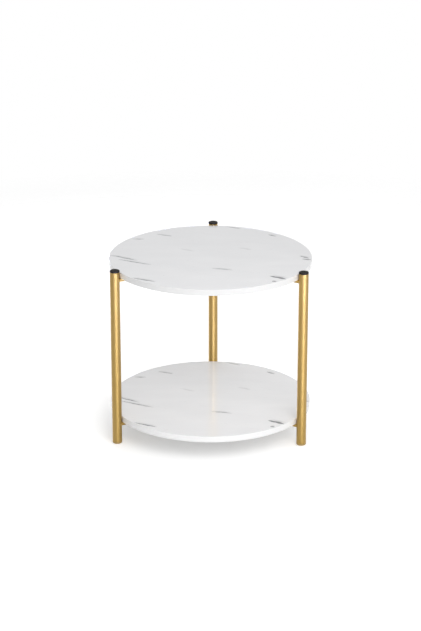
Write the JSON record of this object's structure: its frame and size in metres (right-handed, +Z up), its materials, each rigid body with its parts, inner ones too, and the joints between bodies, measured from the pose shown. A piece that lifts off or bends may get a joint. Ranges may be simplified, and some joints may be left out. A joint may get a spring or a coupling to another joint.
{
  "type": "two-tier coffee table",
  "caption": "Round two-tier coffee table: a marble-effect top and a matching lower shelf, carried at their rims by gold tube legs.",
  "frame": {"origin": "on the floor, at the middle of the table's footprint box; the boards' axis stands 12.2 mm towards -Y from it", "axes": "+Z up, +Y towards the back leg, +X to the right as seen from the front between the two front legs"},
  "size_m": [0.5, 0.5244, 0.45],
  "materials": {
    "wood_core": "matte",
    "marble_laminate": "gloss",
    "white_backing": "satin",
    "white_edge_band": "gloss",
    "gold_frame": "gloss",
    "black_cap": "satin",
    "gold_foot": "satin",
    "zinc_screw": "satin",
    "brass_insert": "satin"
  },
  "bodies": {
    "root": {"top_board_core": "wood_core", "top_board_laminate": "marble_laminate", "top_board_backing": "white_backing", "top_board_edge_band": "white_edge_band", "shelf_core": "wood_core", "shelf_laminate": "marble_laminate", "shelf_backing": "white_backing", "shelf_edge_band": "white_edge_band", "left_leg_tube": "gold_frame", "right_leg_tube": "gold_frame", "back_leg_tube": "gold_frame", "left_leg_cap": "black_cap", "right_leg_cap": "black_cap", "back_leg_cap": "black_cap", "left_leg_foot": "gold_foot", "right_leg_foot": "gold_foot", "back_leg_foot": "gold_foot", "left_top_bracket": "gold_frame", "right_top_bracket": "gold_frame", "back_top_bracket": "gold_frame", "left_shelf_bracket": "gold_frame", "right_shelf_bracket": "gold_frame", "back_shelf_bracket": "gold_frame", "left_top_screw": "zinc_screw", "right_top_screw": "zinc_screw", "back_top_screw": "zinc_screw", "left_shelf_screw": "zinc_screw", "right_shelf_screw": "zinc_screw", "back_shelf_screw": "zinc_screw", "left_top_insert": "brass_insert", "right_top_insert": "brass_insert", "back_top_insert": "brass_insert", "left_shelf_insert": "brass_insert", "right_shelf_insert": "brass_insert", "back_shelf_insert": "brass_insert"}
  },
  "joints": []
}
